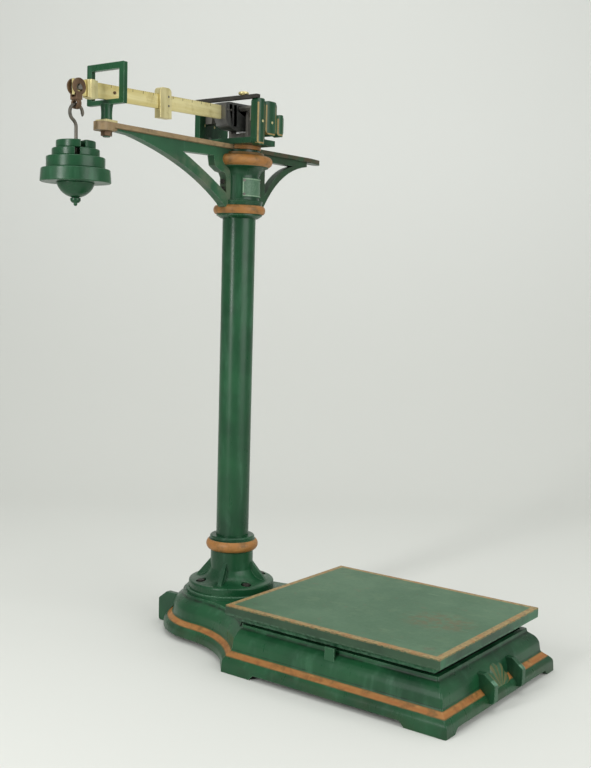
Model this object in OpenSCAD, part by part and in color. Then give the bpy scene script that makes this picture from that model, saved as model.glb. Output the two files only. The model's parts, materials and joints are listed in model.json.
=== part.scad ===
// Portable platform scale: cast base, lever train, pillar, tilted brass steelyard and slotted weights.
// Origin: pillar axis at floor level. +X runs from the pillar to the front of the base, +Z is up.

/* [Base] */
// Distance from the pillar axis to the front foot line of the base
base_reach = 603; // [590:1:615]
// Half of the base width at the feet
base_half = 203; // [199:1:210]
// Half width of the narrow end that carries the pillar, also its end radius
neck_half = 134; // [130:1:138]
// Radius of the hollow curve that joins the narrow end to the wide body
flare_r = 190; // [180:1:195]

/* [Platform] */
// Height of the platform top above the floor
plate_top = 116; // [113:1:122]

/* [Pillar] */
// Outside diameter of the pillar tube
tube_d = 64; // [60:0.5:66]
// Wall of the pillar tube
tube_wall = 5; // [3:0.5:6]
// Height of the top face of the side arms
arm_z = 950; // [900:5:1000]

/* [Steelyard] */
// Distance from the fulcrum knife to the tip knife
beam_reach = 396; // [392:1:400]
// Distance from the fulcrum knife to the load knife
load_arm = 22; // [21:0.5:23]
// Depth of the brass bar
bar_depth = 25; // [23:0.5:26]
// Thickness of the brass bar
bar_t = 6; // [5:0.5:7]
// Angle by which the idle steelyard hangs tip down
rest_tilt = 1.5; // [1.5:0.1:1.7]

/* [Weights] */
// Radius of the top weight
weight_1_r = 32; // [28:1:35]
// Radius of the second weight
weight_2_r = 38.6; // [35:0.2:42]
// Radius of the third weight
weight_3_r = 47.6; // [44:0.2:50]
// Radius of the bottom weight
weight_4_r = 57.5; // [52:0.5:60]

/* [Hidden] */

$fn = 64;
// Running gap between a pin or shaft and its bore, on the radius
fit_gap = 0.05;
// Air gap between loose pieces that nearly touch
air = 0.3;

green = [0.18, 0.34, 0.25];
pale_green = [0.36, 0.49, 0.39];
brass = [0.85, 0.77, 0.52];
bronze = [0.45, 0.31, 0.22];
iron = [0.30, 0.30, 0.28];
steel = [0.62, 0.62, 0.60];
black_iron = [0.16, 0.16, 0.15];

// Points of a quadratic curve from a to c, drawn towards b
function bend(a, b, c, n = 8) =
    [for (k = [0:n]) let (t = k / n) (1 - t) * (1 - t) * a + 2 * t * (1 - t) * b + t * t * c];

// Points of an arc round [x, y] from angle from to angle to
function arc(x, y, r, from, to, n = 10) =
    [for (k = [0:n]) let (w = from + (to - from) * k / n) [x + r * cos(w), y + r * sin(w)]];

// Extrudes a drawing of the X-Z plane along Y, centred on y
module along_y(y, length) {
    translate([0, y + length / 2, 0])
        rotate([90, 0, 0])
            linear_extrude(height = length)
                children();
}

// Extrudes a drawing of the Y-Z plane along X, centred on x
module along_x(x, length) {
    translate([x - length / 2, 0, 0])
        rotate([90, 0, 90])
            linear_extrude(height = length)
                children();
}

module box(x, y, z) {
    translate([x[0], y[0], z[0]])
        cube([x[1] - x[0], y[1] - y[0], z[1] - z[0]]);
}

// Repeats its children at +y and -y
module both_sides() {
    children();
    mirror([0, 1, 0]) children();
}

// Section of a knife edge that points up from z = 0, way = -1 turns it down
knife_half = 4;
knife_depth = 9;
module knife_section(way = 1) {
    shoulder = 5;
    polygon([
        [0, 0], [knife_half, -shoulder * way], [knife_half, -knife_depth * way],
        [-knife_half, -knife_depth * way], [-knife_half, -shoulder * way]
    ]);
}

// Section of a bearing block with a vee that is open upwards at z = 0, way = -1 turns it over
module vee_section(half, height, way = 1) {
    vee_half = 5;
    vee_depth = 3;
    polygon([
        [0, -air * way], [vee_half, (vee_depth - air) * way], [half, (vee_depth - air) * way],
        [half, -height * way], [-half, -height * way],
        [-half, (vee_depth - air) * way], [-vee_half, (vee_depth - air) * way]
    ]);
}

module hex_nut(flats, height, bore) {
    difference() {
        cylinder(h = height, r = flats / sqrt(3), $fn = 6);
        translate([0, 0, -1]) cylinder(h = height + 2, r = bore);
    }
}

// Base: heights and insets of the moulded skirt, as [inset from the foot line, height]
moulding = [
    [0, 0], [1, 20], [6, 26], [17, 35], [19, 38], [20, 46], [21, 54],
    [24, 61], [28, 66], [33, 70], [37, 73], [38, 74.5], [39, 80]
];
base_top = 80;
base_wall = 9;
deck_under = 70;
skirt_z = 9;
flare_x = 3;
flare_y = neck_half + flare_r;
foot_len = 76;
foot_w = 30;
foot_rear_x = 136;
deck_end_x = 150;
lip_inset = moulding[len(moulding) - 1][0];
well_inset = lip_inset + base_wall;
pillar_pad_r = 89;
pillar_pad_top = 87;
rod_hole_r = 16;
bolt_ring_r = 66;
bolt_first = -24;
foot_bolt_r = 4;

// Lever train: stations along X, knife reach across Y and edge heights
long_fulcrum_x = base_reach - 51;
long_load_x = long_fulcrum_x - 36;
short_fulcrum_x = deck_end_x + 22;
short_load_x = short_fulcrum_x + 36;
link_x = (long_fulcrum_x + short_fulcrum_x) / 2;
long_knife_y = base_half - 72;
short_knife_y = base_half - 82;
long_z = [41, 59];
short_z = [18, 36];
long_fulcrum_edge = 44;
long_load_edge = 58;
short_fulcrum_edge = 21;
short_load_edge = 35;
bearing_half = 8;
bearing_len = 16;
front_bearing_h = 10;
rear_bearing_h = 8;

module moulded(steps) {
    low = steps[0][1];
    high = steps[len(steps) - 1][1];
    side = [for (s = steps) [base_half - s[0], s[1]]];
    other_side = [for (k = [len(steps) - 1:-1:0]) [steps[k][0] - base_half, steps[k][1]]];
    neck_side = [for (s = steps) [neck_half - s[0], s[1]]];
    other_neck = [for (k = [len(steps) - 1:-1:0]) [steps[k][0] - neck_half, steps[k][1]]];
    front = [for (s = steps) [base_reach - s[0], s[1]]];
    difference() {
        intersection() {
            along_x((flare_x + base_reach) / 2, base_reach - flare_x) polygon(concat(side, other_side));
            along_y(0, 3 * base_half) polygon(concat([[flare_x, low]], front, [[flare_x, high]]));
        }
        both_sides()
            translate([flare_x, flare_y, 0])
                rotate_extrude($fn = 128)
                    polygon(concat(
                        [[0, low - 1], [flare_r + steps[0][0], low - 1]],
                        [for (s = steps) [flare_r + s[0], s[1]]],
                        [[flare_r + steps[len(steps) - 1][0], high + 1], [0, high + 1]]
                    ));
    }
    along_x(flare_x, 2 * flare_x) polygon(concat(neck_side, other_neck));
    rotate_extrude($fn = 128)
        polygon(concat([[0, low]], [for (s = steps) [neck_half - s[0], s[1]]], [[0, high]]));
}

module base_hollow() {
    steps = [for (s = moulding) if (s[1] < deck_under) [s[0] + base_wall, s[1] == 0 ? -1 : s[1]]];
    moulded(concat(steps, [[lip_inset + base_wall - 3, deck_under]]));
}

module foot_blocks(high) {
    both_sides() {
        box([foot_rear_x, foot_rear_x + foot_len], [base_half - foot_w, base_half], [0, high]);
        box([base_reach - foot_len, base_reach], [base_half - foot_w, base_half], [0, high]);
    }
}

// Space below the skirt from one foot to the next, with slanting ends
module skirt_gap(from, to) {
    polygon([
        [from, -1], [from, 0], [from + skirt_z, skirt_z], [to - skirt_z, skirt_z], [to, 0], [to, -1]
    ]);
}

module gap_under_skirt() {
    inner = base_half - foot_w;
    along_y(0, 4 * base_half) {
        skirt_gap(-base_half, foot_rear_x);
        skirt_gap(foot_rear_x + foot_len, base_reach - foot_len);
    }
    along_x(base_reach, 2 * (base_reach - foot_rear_x)) skirt_gap(-inner, inner);
}

// Pair of lugs with rounded noses: rooted in the skirt at root, out to nose, down to low
lug_y = 52;
lug_w = 12;

module lug_pair(root, nose, low) {
    both_sides()
        along_y(lug_y, lug_w)
            polygon(concat(
                [[root - 33, 62], [root - 22, 37], [root - 8, 22], [root - 5, low]],
                arc(nose - 6, low + 6, 6, -90, 0, 6),
                arc(nose - 4, 44, 4, 0, 60, 4),
                [[nose - 21, 62]]
            ));
}

// Scalloped shell that leans on the moulding between the front lugs
module front_shell() {
    shell_foot = 20;
    shell_lean = 23;
    shell_t = 22;
    shell_r = 27;
    lobe_r = 8;
    lobes = 7;
    translate([base_reach - 3, 0, shell_foot])
        rotate([0, -shell_lean, 0])
            along_x(-shell_t / 2, shell_t) {
                polygon([
                    [-lug_y + 20, 0], [lug_y - 20, 0],
                    [shell_r + lobe_r / 2, shell_r / 2], [-shell_r - lobe_r / 2, shell_r / 2]
                ]);
                intersection() {
                    translate([0, shell_r / 2]) circle(r = shell_r + lobe_r / 2);
                    translate([-2 * shell_r, shell_r / 2]) square([4 * shell_r, 2 * shell_r]);
                }
                for (k = [0:lobes - 1])
                    let (w = 180 * k / (lobes - 1))
                        translate([shell_r * cos(w), shell_r / 2 + shell_r * sin(w)])
                            circle(r = lobe_r);
            }
}

// Small stop that stands on the moulding under the rim of the plate
module plate_stop() {
    box([link_x - 8, link_x + 12], [26 - base_half, 31 - base_half], [58, base_top + 6]);
}

module base_casting() {
    color(green) {
        difference() {
            union() {
                moulded(moulding);
                front_shell();
                plate_stop();
                cylinder(r = pillar_pad_r, h = pillar_pad_top);
            }
            base_hollow();
            gap_under_skirt();
            box([deck_end_x, base_reach - well_inset], [well_inset - base_half, base_half - well_inset],
                [deck_under - 4, base_top + 1]);
            cylinder(r = rod_hole_r, h = 2 * base_top);
            for (k = [0:3])
                rotate([0, 0, bolt_first + 90 * k])
                    translate([bolt_ring_r, 0, 0])
                        cylinder(r = foot_bolt_r + fit_gap, h = 2 * base_top);
        }
        intersection() {
            moulded(moulding);
            foot_blocks(16);
        }
        lug_pair(base_reach, base_reach + 9, 14);
        mirror([1, 0, 0]) lug_pair(neck_half - 9, neck_half + 9, 0);
        both_sides() {
            box([long_fulcrum_x - 11, long_fulcrum_x + 11], [long_knife_y - 9, base_half - 18],
                [long_fulcrum_edge - front_bearing_h - 10, long_fulcrum_edge - front_bearing_h]);
            box([short_fulcrum_x - 11, short_fulcrum_x + 11], [short_knife_y - 9, base_half - 8],
                [5, short_fulcrum_edge - rear_bearing_h]);
        }
    }
}

// Bearing steels that carry the fulcrum knives of both levers
module base_bearings_front() {
    color(steel)
        both_sides()
            translate([long_fulcrum_x, 0, long_fulcrum_edge])
                along_y(long_knife_y, bearing_len) vee_section(bearing_half, front_bearing_h);
}

module base_bearings_rear() {
    color(steel)
        both_sides()
            translate([short_fulcrum_x, 0, short_fulcrum_edge])
                along_y(short_knife_y, bearing_len) vee_section(bearing_half, rear_bearing_h);
}

// Platform plate and the frame below it
plate_x = [deck_end_x - 10, base_reach - 27];
plate_half = base_half - 20;
plate_rim = 18;
plate_rim_z = plate_top - plate_rim;
plate_under = base_top + 5;
plate_edge = concat(bend([17, plate_under], [16, plate_rim_z - 1], [0, plate_rim_z]), [[0, plate_top]]);
pocket_inset = 45;
plate_skin = 9;
frame_x = [plate_x[0] + 18, plate_x[1] - 29];
frame_half = plate_half - 36;
frame_bar = 16;
frame_z = [70, plate_under];
bearing_h = 8;

module platform_plate() {
    right_side = [for (p = plate_edge) [plate_half - p[0], p[1]]];
    left_side = [
        for (k = [len(plate_edge) - 1:-1:0]) [plate_edge[k][0] - plate_half, plate_edge[k][1]]
    ];
    front = [for (p = plate_edge) [plate_x[1] - p[0], p[1]]];
    rear = [for (k = [len(plate_edge) - 1:-1:0]) [plate_x[0] + plate_edge[k][0], plate_edge[k][1]]];
    color(pale_green)
        difference() {
            intersection() {
                along_x((plate_x[0] + plate_x[1]) / 2, plate_x[1] - plate_x[0])
                    polygon(concat(right_side, left_side));
                along_y(0, 2 * plate_half) polygon(concat(front, rear));
            }
            box([plate_x[0] + pocket_inset, plate_x[1] - pocket_inset],
                [pocket_inset - plate_half, plate_half - pocket_inset],
                [plate_under - 1, plate_top - plate_skin]);
        }
}

module platform_frame() {
    leg_half = bearing_half;
    color(iron) {
        difference() {
            box(frame_x, [-frame_half, frame_half], frame_z);
            box([frame_x[0] + frame_bar, frame_x[1] - frame_bar],
                [frame_bar - frame_half, frame_half - frame_bar], [frame_z[0] - 1, frame_z[1] + 1]);
        }
        for (x = [short_load_x, long_load_x])
            box([x - leg_half, x + leg_half], [-frame_half + 1, frame_half - 1], frame_z);
        both_sides() {
            box([short_load_x - leg_half, short_load_x + leg_half],
                [short_knife_y - bearing_len / 2, short_knife_y + bearing_len / 2],
                [short_load_edge + bearing_h, frame_z[0] + 1]);
            box([long_load_x - leg_half, long_load_x + leg_half],
                [long_knife_y - bearing_len / 2, long_knife_y + bearing_len / 2],
                [long_load_edge + bearing_h, frame_z[0] + 1]);
        }
    }
}

module platform_bearings() {
    color(steel)
        both_sides() {
            translate([short_load_x, 0, short_load_edge])
                along_y(short_knife_y, bearing_len) vee_section(bearing_half, bearing_h, -1);
            translate([long_load_x, 0, long_load_edge])
                along_y(long_knife_y, bearing_len) vee_section(bearing_half, bearing_h, -1);
        }
}

// Levers: each is a forked casting whose legs meet in a single nose bar
lever_bar = 14;
fork_boss = 12;
long_join_x = link_x - 77;
short_join_x = link_x - 66;
long_boss_y = long_knife_y - 19;
short_boss_y = short_knife_y - 19;
nose_bar = 16;
knife_len = 34;
link_knife_len = 46;
nose_knife_len = 46;
nose_edge = 46;
nose_top = 54;

// Plan of a lever's two end bosses and the legs that join them to the nose bar
module fork_plan(fulcrum_x, load_x, boss_y, join_x) {
    mid = (fulcrum_x + load_x) / 2;
    reach = abs(fulcrum_x - load_x) / 2 + 11;
    foot = [load_x, boss_y - 3];
    run = [join_x, 0] - foot;
    side = lever_bar / 2 * [-run[1], run[0]] / norm(run);
    for (way = [1, -1])
        scale([1, way]) {
            translate([mid - reach, boss_y - fork_boss / 2]) square([2 * reach, fork_boss]);
            polygon([foot + side, foot - side, foot + run - side, foot + run + side]);
        }
}

module side_knives(x, edge, way, y) {
    both_sides()
        translate([x, 0, edge])
            along_y(y - 6, knife_len) knife_section(way);
}

module long_lever() {
    web_x = link_x + 20;
    web_half = 42;
    color(iron)
        difference() {
            union() {
                translate([0, 0, long_z[0]])
                    linear_extrude(height = long_z[1] - long_z[0]) {
                        fork_plan(long_fulcrum_x, long_load_x, long_boss_y, long_join_x);
                        translate([26, -nose_bar / 2]) square([long_join_x + 8 - 26, nose_bar]);
                        translate([web_x - 6, -web_half]) square([12, 2 * web_half]);
                        translate([link_x - 8, -10]) square([web_x - link_x + 8, 20]);
                    }
                box([-11, 27], [-nose_bar / 2, nose_bar / 2], [long_z[0], nose_top]);
            }
            side_knives(long_fulcrum_x, long_fulcrum_edge, -1, long_knife_y);
            side_knives(long_load_x, long_load_edge, 1, long_knife_y);
            long_lever_nose_knife();
            long_lever_link_knife();
        }
}

module long_lever_fulcrum_knives() {
    color(steel) side_knives(long_fulcrum_x, long_fulcrum_edge, -1, long_knife_y);
}

module long_lever_load_knives() {
    color(steel) side_knives(long_load_x, long_load_edge, 1, long_knife_y);
}

module long_lever_nose_knife() {
    color(steel)
        translate([0, 0, nose_edge - 2])
            along_y(0, nose_knife_len) knife_section(-1);
}

module long_lever_link_knife() {
    color(steel)
        translate([link_x, 0, long_z[1] - 2])
            along_y(0, link_knife_len) knife_section(1);
}

module short_lever() {
    color(iron)
        difference() {
            translate([0, 0, short_z[0]])
                linear_extrude(height = short_z[1] - short_z[0]) {
                    fork_plan(short_fulcrum_x, short_load_x, short_boss_y, short_join_x);
                    translate([short_join_x - 8, -nose_bar / 2])
                        square([link_x + 17 - short_join_x, nose_bar]);
                }
            side_knives(short_fulcrum_x, short_fulcrum_edge, -1, short_knife_y);
            side_knives(short_load_x, short_load_edge, 1, short_knife_y);
            short_lever_nose_knife();
        }
}

module short_lever_fulcrum_knives() {
    color(steel) side_knives(short_fulcrum_x, short_fulcrum_edge, -1, short_knife_y);
}

module short_lever_load_knives() {
    color(steel) side_knives(short_load_x, short_load_edge, 1, short_knife_y);
}

module short_lever_nose_knife() {
    color(steel)
        translate([link_x, 0, short_z[0] + 2])
            along_y(0, link_knife_len) knife_section(-1);
}

// Pair of rings that hang the short lever's nose from the long lever
module lever_link() {
    ring_y = 17;
    ring_t = 6;
    window = [short_z[0] + 2 - air, long_z[1] - 2 + air];
    color(steel)
        both_sides()
            along_y(ring_y, ring_t)
                difference() {
                    translate([link_x - 11, window[0] - 6]) square([22, window[1] - window[0] + 12]);
                    translate([link_x - 6, window[0]]) square([12, window[1] - window[0]]);
                }
}

// Heights in the head are measured from the top face of the side arms
module head() {
    translate([0, 0, arm_z]) children();
}

// Draw rod with its two stirrups
rod_r = 5;
stirrup_leg_y = 17;
stirrup_leg_t = 6;
yoke_z = [60, 66];
rod_low = 55;
nut_flats = 12;
nut_h = 4.5;
upper_yoke = [13, 25];
fulcrum_y = -22;
fulcrum_z = 63;
load_edge = fulcrum_z + load_arm * sin(rest_tilt);
load_y = fulcrum_y + load_arm * cos(rest_tilt);
upper_leg_x = 21;
upper_leg_t = 6;

module lower_stirrup() {
    leg_x = 9;
    window = [nose_edge - 2 - air, nose_top + 2];
    color(steel)
        difference() {
            union() {
                both_sides()
                    along_y(stirrup_leg_y, stirrup_leg_t)
                        difference() {
                            translate([-leg_x, window[0] - 6])
                                square([2 * leg_x, yoke_z[1] - window[0] + 6]);
                            translate([-5, window[0]]) square([10, window[1] - window[0]]);
                        }
                box([-leg_x, leg_x], [-stirrup_leg_y, stirrup_leg_y], yoke_z);
            }
            cylinder(r = rod_r + fit_gap, h = 2 * yoke_z[1]);
        }
}

module draw_rod() {
    color(steel)
        translate([0, 0, rod_low])
            cylinder(r = rod_r, h = arm_z + upper_yoke[1] - 1 - rod_low);
}

module rod_nuts() {
    color(steel) {
        translate([0, 0, yoke_z[0] - nut_h]) hex_nut(nut_flats, nut_h, rod_r + fit_gap);
        translate([0, 0, yoke_z[1]]) hex_nut(nut_flats, nut_h, rod_r + fit_gap);
        head() translate([0, 0, upper_yoke[0] - nut_h]) hex_nut(nut_flats, nut_h, rod_r + fit_gap);
    }
}

module upper_stirrup() {
    leg_y = 8;
    window = [load_edge - 14, load_edge + air];
    color(steel)
        head()
            difference() {
                union() {
                    for (side = [-1, 1])
                        along_x(side * upper_leg_x, upper_leg_t)
                            difference() {
                                translate([load_y - leg_y, upper_yoke[0]])
                                    square([2 * leg_y, window[1] + 8 - upper_yoke[0]]);
                                translate([load_y - 5.5, window[0]])
                                    square([11, window[1] - window[0]]);
                            }
                    box([-upper_leg_x, upper_leg_x], [load_y - leg_y, load_y + leg_y], upper_yoke);
                }
                cylinder(r = rod_r + fit_gap, h = 2 * upper_yoke[1], center = true);
            }
}

// Pillar
tube_r = tube_d / 2;
tube_low = 110;
socket_bottom = -137;
tube_top_in_head = socket_bottom + 27;

module column_foot() {
    gusset_t = 8;
    color(green)
        difference() {
            union() {
                rotate_extrude($fn = 128)
                    polygon(concat(
                        [[0, pillar_pad_top], [84.5, pillar_pad_top], [84.5, 98]],
                        arc(80.5, 98, 4, 0, 90, 5),
                        bend([74, 103], [48, 104], [tube_r + 10, 126], 10),
                        [[tube_r + 10, 160]],
                        arc(tube_r + 7.4, 173, 12, -75, 75, 14),
                        [[tube_r + 12, 185], [tube_r + 12, 189], [tube_r + 10, 191], [0, 191]]
                    ));
                for (k = [0:3])
                    rotate([0, 0, bolt_first + 45 + 90 * k])
                        along_y(0, gusset_t)
                            polygon([
                                [tube_r + 2, 100], [76, 100], [tube_r + 11, 140], [tube_r + 2, 140]
                            ]);
            }
            translate([0, 0, tube_low]) cylinder(r = tube_r + fit_gap, h = 100);
            cylinder(r = rod_hole_r, h = 200);
            for (k = [0:3])
                rotate([0, 0, bolt_first + 90 * k])
                    translate([bolt_ring_r, 0, 0]) {
                        cylinder(r = foot_bolt_r + fit_gap, h = 200);
                        translate([0, 0, 99]) cylinder(r = 10, h = 40);
                    }
        }
}

module foot_bolts() {
    color(black_iron)
        for (k = [0:3])
            rotate([0, 0, bolt_first + 90 * k])
                translate([bolt_ring_r, 0, 0]) {
                    translate([0, 0, deck_under - 5])
                        cylinder(r = foot_bolt_r, h = 99 - deck_under + 6);
                    translate([0, 0, 99]) cylinder(r = 13 / sqrt(3), h = 7, $fn = 6);
                }
}

module column_tube() {
    color(green)
        difference() {
            translate([0, 0, tube_low])
                cylinder(r = tube_r, h = arm_z + tube_top_in_head - tube_low, $fn = 96);
            cylinder(r = tube_r - tube_wall, h = arm_z);
        }
}

// Turned outline of the capital, grown by gap for the castings that fit round it
module capital_turning(gap) {
    neck = 37.7 + gap;
    rotate_extrude($fn = 128)
        polygon(concat(
            [[0, socket_bottom - gap], [36 + gap, socket_bottom - gap]],
            [[44 + gap, -132], [44 + gap, -128]],
            arc(40 + gap, -121, 10.4, -48, 48, 10),
            [[43 + gap, -112], [45 + gap, -104], [neck, -102 + gap], [neck, -58]],
            bend([neck, -58], [neck + 2, -44], [54 + gap, -40]),
            arc(52 + gap, -28.5, 10, -75, 75, 12),
            [[46 + gap, -17], [45 + gap, -13], [37 + gap, -12], [37 + gap, -8], [39 + gap, -7], [39 + gap, 0], [0, 0]]
        ));
}

module capital() {
    color(green)
        head()
            difference() {
                capital_turning(0);
                translate([0, 0, socket_bottom - 1]) cylinder(r = tube_r + fit_gap, h = 28);
                translate([0, 0, tube_top_in_head - 1]) cylinder(r = 26, h = 64);
                translate([0, 0, socket_bottom]) cylinder(r = 12, h = 2 * abs(socket_bottom));
                for (x = [-1, 1])
                    translate([x * stand_screw_x, 0, stand_screw_low - 1])
                        cylinder(r = stand_screw_r + fit_gap, h = 20);
                bracket_bolt_holes();
                plate_rivet_holes();
            }
}

// Blank plate on the capital neck
neck_r = 37.7;
plate_span = 88;
plate_z = [-97, -61];
rivet_r = 1.6;

module on_neck(angle, z) {
    rotate([0, 0, angle]) translate([0, 0, z]) rotate([0, 90, 0]) children();
}

module plate_rivet_holes() {
    for (w = [-38, 38], z = [plate_z[0] + 5, plate_z[1] - 5])
        on_neck(w, z) cylinder(r = rivet_r + fit_gap, h = neck_r + 5, $fn = 24);
}

module blank_plate() {
    skin = 1.4;
    border = 2.4;
    raised = 0.9;
    color(pale_green)
        head()
            difference() {
                rotate([0, 0, -plate_span / 2]) {
                    rotate_extrude(angle = plate_span, $fn = 128)
                        translate([neck_r + fit_gap, plate_z[0]])
                            square([skin, plate_z[1] - plate_z[0]]);
                    rotate_extrude(angle = plate_span, $fn = 128)
                        translate([neck_r + fit_gap, plate_z[0]]) square([skin + raised, border]);
                    rotate_extrude(angle = plate_span, $fn = 128)
                        translate([neck_r + fit_gap, plate_z[1] - border])
                            square([skin + raised, border]);
                }
                plate_rivet_holes();
            }
}

module plate_rivets() {
    color(bronze)
        head()
            for (w = [-38, 38], z = [plate_z[0] + 5, plate_z[1] - 5])
                on_neck(w, z) {
                    translate([0, 0, neck_r - 6]) cylinder(r = rivet_r, h = 7.5, $fn = 24);
                    translate([0, 0, neck_r + 1.5]) cylinder(r = 2.6, h = 1.2, $fn = 24);
                }
}

// Side arms: flat castings with a top flange, notched round the capital
arm_web = 16;
flange_w = 28;
flange_t = 8;
notch_gap = 0.2;
loop_y = 45 - beam_reach;
boss_y = loop_y - 9;
boss_r = 15;
boss_h = 14;
spigot_r = 6;
left_bolts = [[-50, -70], [-50, -84]];
right_bolts = [[67, -36], [67, -50]];
bolt_r = 3;

module across_arm(place, r, h, sides = 64) {
    way = place[0] < 0 ? 1 : -1;
    translate([0, place[0], place[1]]) rotate([-90 * way, 0, 0]) cylinder(r = r, h = h, $fn = sides);
}

module bracket_bolt_holes() {
    for (p = concat(left_bolts, right_bolts))
        across_arm(p, bolt_r + fit_gap, abs(p[0]) - 28);
}

module left_bracket() {
    lower = bend([loop_y + 51, -14], [-150, -44], [-58, -112], 12);
    opening = concat(
        bend([-49, -92], [-104, -58], [-172, -27], 6),
        [[-87, -25], [-83, -43], [-67, -52], [-55, -54], [-50, -62]]
    );
    color(green)
        head()
            difference() {
                union() {
                    along_x(0, arm_web)
                        difference() {
                            polygon(concat(
                                [[loop_y + 6, -1], [loop_y + 6, -11]],
                                lower,
                                arc(-48, -106, 12, 210, 330, 6),
                                [[-20, -106], [-20, -1]]
                            ));
                            polygon(opening);
                        }
                    box([-flange_w / 2, flange_w / 2], [boss_y, -20], [-flange_t, 0]);
                    for (y = [boss_y, loop_y]) translate([0, y, -boss_h])
                        cylinder(r = boss_r, h = boss_h);
                }
                capital_turning(notch_gap);
                translate([0, loop_y, -2 * boss_h]) cylinder(r = spigot_r + fit_gap, h = 3 * boss_h);
                bracket_bolt_holes();
            }
}

module right_bracket() {
    brace = bend([206, -18], [120, -30], [68, -106], 10);
    opening = concat(bend([160, -21], [104, -33], [67, -88], 8), [[67, -21]]);
    knob_from = 211;
    tip_y = 256;
    color(green)
        head()
            difference() {
                union() {
                    along_x(0, arm_web)
                        difference() {
                            polygon(concat(
                                [[206, -1]],
                                brace,
                                arc(54, -104, 13, -20, -150, 6),
                                [[20, -104], [20, -1]]
                            ));
                            polygon(opening);
                        }
                    box([-flange_w / 2, flange_w / 2], [20, knob_from + 2], [-flange_t, 0]);
                    hull() {
                        box([-flange_w / 2, flange_w / 2], [knob_from, knob_from + 2],
                            [-flange_t - 1, 0]);
                        translate([0, tip_y - 8, -flange_t - 2])
                            cylinder(r = 8, h = flange_t + 2, $fn = 32);
                    }
                }
                capital_turning(notch_gap);
                bracket_bolt_holes();
            }
}

module bracket_bolts() {
    color(black_iron)
        head()
            for (p = concat(left_bolts, right_bolts)) {
                across_arm(p, bolt_r, abs(p[0]) - 29);
                mirror_y = p[0] < 0 ? -1 : 1;
                across_arm([p[0] + 4 * mirror_y, p[1]], 5, 4, 6);
            }
}

// Loop that limits the steelyard's travel
swing = 3.9;
bar_high = 8;
bar_low = bar_depth - bar_high;
loop_arm = fulcrum_y - loop_y;
loop_t = 8;
loop_half = 44;
loop_side = 11.4;
loop_corner = 2;
stem_block_half = 13;
stem_block_h = 4;
loop_window = [
    fulcrum_z - loop_arm * sin(rest_tilt) - bar_low - air,
    fulcrum_z + loop_arm * sin(swing - rest_tilt) + bar_high + 0.8
];
loop_z = [loop_window[0] - 8, loop_window[1] + 11];

module loop_outline() {
    height = loop_z[1] - loop_z[0];
    translate([loop_corner - loop_half, loop_z[0]]) square([2 * (loop_half - loop_corner), height]);
    translate([-loop_half, loop_z[0] + loop_corner]) square([2 * loop_half, height - 2 * loop_corner]);
    for (x = [-1, 1], z = [loop_z[0] + loop_corner, loop_z[1] - loop_corner])
        translate([x * (loop_half - loop_corner), z]) circle(r = loop_corner);
}

module trig_loop() {
    color(green)
        head() {
            along_y(loop_y, loop_t)
                difference() {
                    loop_outline();
                    translate([loop_side - loop_half, loop_window[0]])
                        square([2 * (loop_half - loop_side), loop_window[1] - loop_window[0]]);
                }
            translate([0, loop_y, 0]) {
                rotate_extrude()
                    polygon(concat(
                        [[0, stem_block_h], [9.5, stem_block_h]],
                        bend([9.5, stem_block_h + 2], [8.5, 20], [11, loop_z[0] + 1], 6),
                        [[0, loop_z[0] + 1]]
                    ));
                translate([0, 0, -24]) cylinder(r = spigot_r, h = 24 + stem_block_h + 1);
            }
        }
}

module stem_block() {
    color(brass)
        head()
            translate([0, loop_y, 0])
                linear_extrude(height = stem_block_h)
                    difference() {
                        square(2 * stem_block_half, center = true);
                        circle(r = spigot_r + fit_gap);
                    }
}

module trig_nut() {
    color(bronze)
        head()
            translate([0, loop_y, -boss_h - 8]) hex_nut(17, 8, spigot_r + fit_gap);
}

// Stand on top of the pillar: two fluted cheeks joined by a foot bar
cheek_x = [63, 76];
foot_bar = [0, 10.5];
stand_y = [-48, 35];
flute_out = 4;
stand_screw_r = 2.5;
stand_screw_x = 29;
stand_screw_low = -11;
cheek_screws_at = [[-33, 40], [-5, 40]];
lobes = [[-48, -22, -4, 81], [-23, 13, 15, 79], [12, 35, 17, 58]];

module lobe_outline(lobe) {
    r = (lobe[1] - lobe[0]) / 2;
    top_r = 7;
    translate([lobe[0] + r, lobe[2] + r]) circle(r = r);
    translate([lobe[0], lobe[2] + r]) square([2 * r, lobe[3] - top_r - lobe[2] - r]);
    translate([lobe[0] + top_r, lobe[3] - top_r - 1]) square([2 * (r - top_r), top_r + 1]);
    for (y = [lobe[0] + top_r, lobe[1] - top_r])
        translate([y, lobe[3] - top_r]) circle(r = top_r);
}

module flute(lobe) {
    half = (lobe[1] - lobe[0]) / 2 - 2;
    r = (half * half + flute_out * flute_out) / (2 * flute_out);
    intersection() {
        along_x(cheek_x[1] + flute_out / 2, flute_out + 1) lobe_outline(lobe);
        translate([cheek_x[1] + flute_out - r, lobe[0] + half + 2, -100])
            cylinder(r = r, h = 300, $fn = 96);
    }
}

module cheek() {
    difference() {
        union() {
            along_x((cheek_x[0] + cheek_x[1]) / 2, cheek_x[1] - cheek_x[0])
                for (lobe = lobes) lobe_outline(lobe);
            for (lobe = lobes) flute(lobe);
        }
        for (p = cheek_screws_at)
            translate([cheek_x[0] - 1, p[0], p[1]]) rotate([0, 90, 0])
                cylinder(r = stand_screw_r + fit_gap, h = 30);
    }
}

module both_cheeks() {
    children();
    mirror([1, 0, 0]) children();
}

module beam_stand() {
    color(green)
        head()
            difference() {
                union() {
                    both_cheeks() cheek();
                    box([-cheek_x[0] - 1, cheek_x[0] + 1], [stand_y[0], 25], foot_bar);
                }
                cylinder(r = 12, h = 40, center = true);
                for (x = [-1, 1])
                    translate([x * stand_screw_x, 0, -1]) cylinder(r = stand_screw_r + fit_gap, h = 40);
            }
}

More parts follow.
